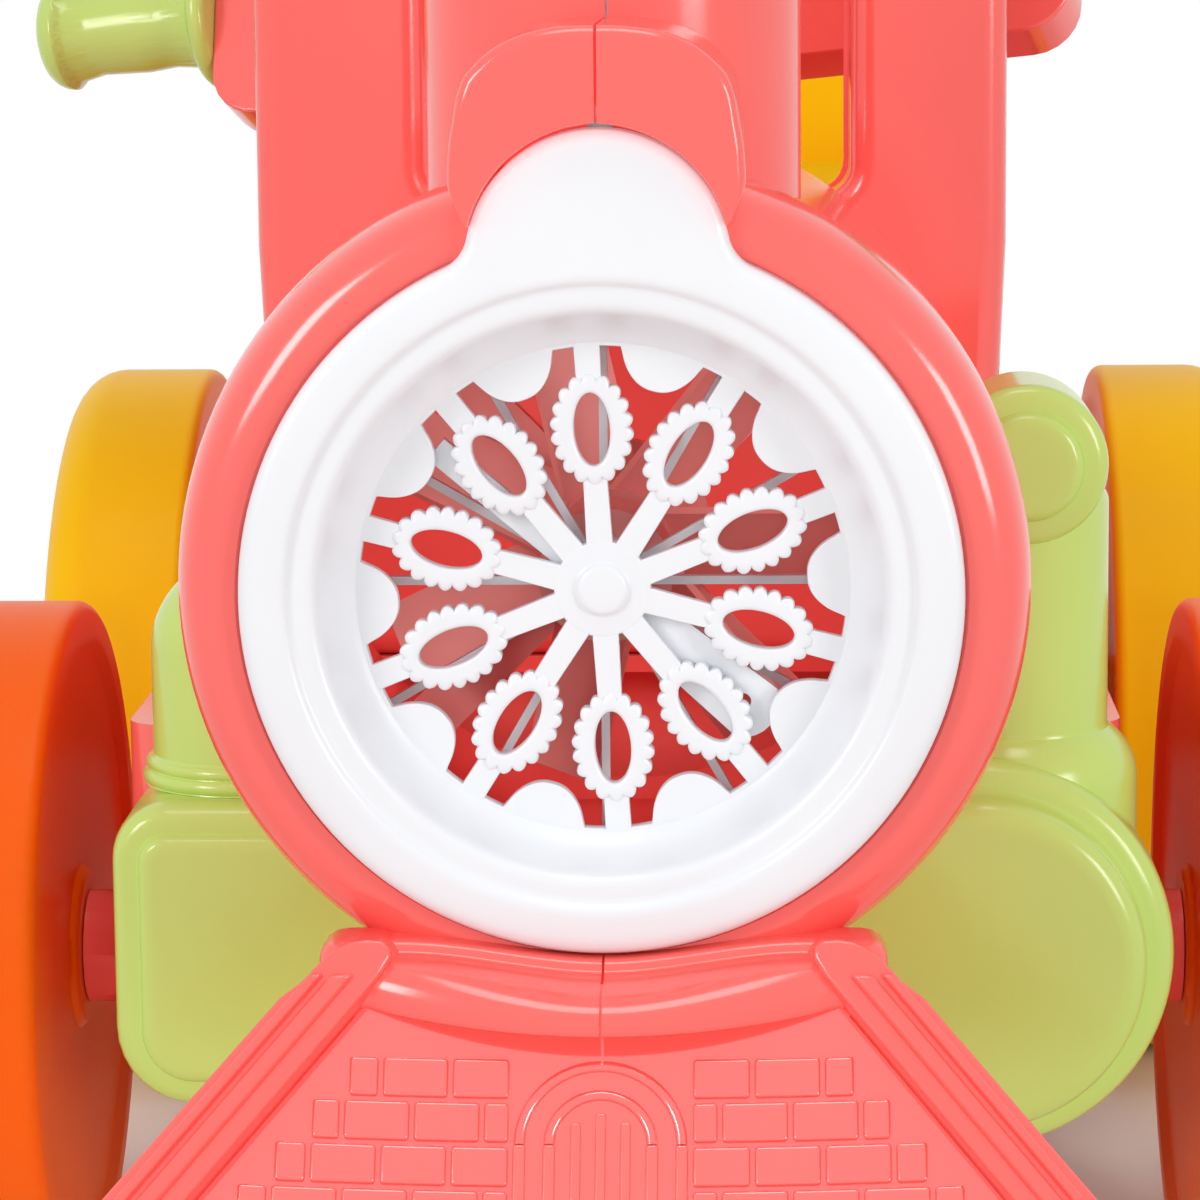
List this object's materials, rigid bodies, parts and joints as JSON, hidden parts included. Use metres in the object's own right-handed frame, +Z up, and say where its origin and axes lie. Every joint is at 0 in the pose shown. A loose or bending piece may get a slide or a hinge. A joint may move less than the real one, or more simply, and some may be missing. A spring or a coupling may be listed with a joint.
{
  "type": "ride-on toy train",
  "caption": "Toddler's ride-on toy locomotive with a bubble-blowing boiler front, storage under a hinged seat, a handlebar and free-turning wheels.",
  "frame": {"origin": "on the floor under the middle of the bounding box", "axes": "+Z up, +Y from the bubble front to the backrest, +X to the right as seen from the front"},
  "size_m": [0.326, 0.6196, 0.378],
  "materials": {
    "coral": "moulded satin gloss",
    "coral_panel": "polished relief",
    "white": "moulded satin",
    "green": "moulded satin",
    "orange": "moulded satin",
    "yellow": "moulded satin",
    "steel": "zinc plated",
    "dark": "matte moulded",
    "cells": "plain sleeve",
    "clear": "translucent moulded"
  },
  "bodies": {
    "train": {"body_left": "coral", "body_right": "coral", "front_panel": "white", "wand_grille": "white", "wiper_gearmotor": "dark", "air_guard": "white", "fan_motor": "steel", "motor_bulkhead": "coral", "solution_tank": "clear", "feed_tube": "clear", "catcher_panel": "coral_panel", "left_cylinder": "green", "left_steam_pipe": "green", "right_cylinder": "green", "right_steam_pipe": "green", "chassis": "coral", "front_axle": "steel", "rear_axle": "steel", "axle_nuts": "steel", "cab_front": "coral", "dash_panel": "coral", "steering_bush": "coral", "bubble_switch": "dark", "seat_base": "coral", "hinge_pins": "steel", "backrest": "yellow", "battery_case": "dark", "battery_cells": "cells", "battery_door": "dark", "cylinder_screws": "steel", "dash_screws": "steel", "door_screw": "steel"},
    "wiper": {"wiper_arm": "white", "wiper_shaft": "steel"},
    "fan": {"fan_impeller": "coral", "fan_shaft": "steel"},
    "cap": {"chimney_cap": "green"},
    "wheel_front_left": {"front_wheel_left": "orange", "front_cap_left": "yellow"},
    "wheel_front_right": {"front_wheel_right": "orange", "front_cap_right": "yellow"},
    "wheel_rear_left": {"rear_wheel_left": "yellow", "rear_cap_left": "orange"},
    "wheel_rear_right": {"rear_wheel_right": "yellow", "rear_cap_right": "orange"},
    "bar": {"handlebar": "coral", "left_grip": "green", "right_grip": "green"},
    "button": {"bubble_button": "yellow"},
    "seat": {"seat_lid": "yellow"}
  },
  "joints": [
    {"name": "wiper_spin", "type": "hinge", "parent": "train", "child": "wiper", "pos_m": [0, -0.24, 0.19], "axis": [0, 1, 0], "continuous": true},
    {"name": "fan_spin", "type": "hinge", "parent": "train", "child": "fan", "pos_m": [0, -0.187, 0.19], "axis": [0, 1, 0], "continuous": true},
    {"name": "cap_lift", "type": "slide", "parent": "train", "child": "cap", "axis": [0, 0, 1], "range_m": [0, 0.06]},
    {"name": "front_left_roll", "type": "hinge", "parent": "train", "child": "wheel_front_left", "pos_m": [-0.143, -0.076, 0.08], "axis": [1, 0, 0], "continuous": true},
    {"name": "front_right_roll", "type": "hinge", "parent": "train", "child": "wheel_front_right", "pos_m": [0.143, -0.076, 0.08], "axis": [1, 0, 0], "continuous": true},
    {"name": "rear_left_roll", "type": "hinge", "parent": "train", "child": "wheel_rear_left", "pos_m": [-0.141, 0.15, 0.095], "axis": [1, 0, 0], "continuous": true},
    {"name": "rear_right_roll", "type": "hinge", "parent": "train", "child": "wheel_rear_right", "pos_m": [0.141, 0.15, 0.095], "axis": [1, 0, 0], "continuous": true},
    {"name": "bar_steer", "type": "hinge", "parent": "train", "child": "bar", "pos_m": [0, 0, 0.235], "axis": [0, 0.4226, 0.9063], "range_deg": [-8, 36]},
    {"name": "seat_open", "type": "hinge", "parent": "train", "child": "seat", "pos_m": [0, 0.286, 0.229], "axis": [-1, 0, 0], "range_deg": [0, 75]},
    {"name": "button_press", "type": "slide", "parent": "train", "child": "button", "axis": [0, -1, 0], "range_m": [0, 0.003], "stiffness_N_per_m": 400}
  ]
}
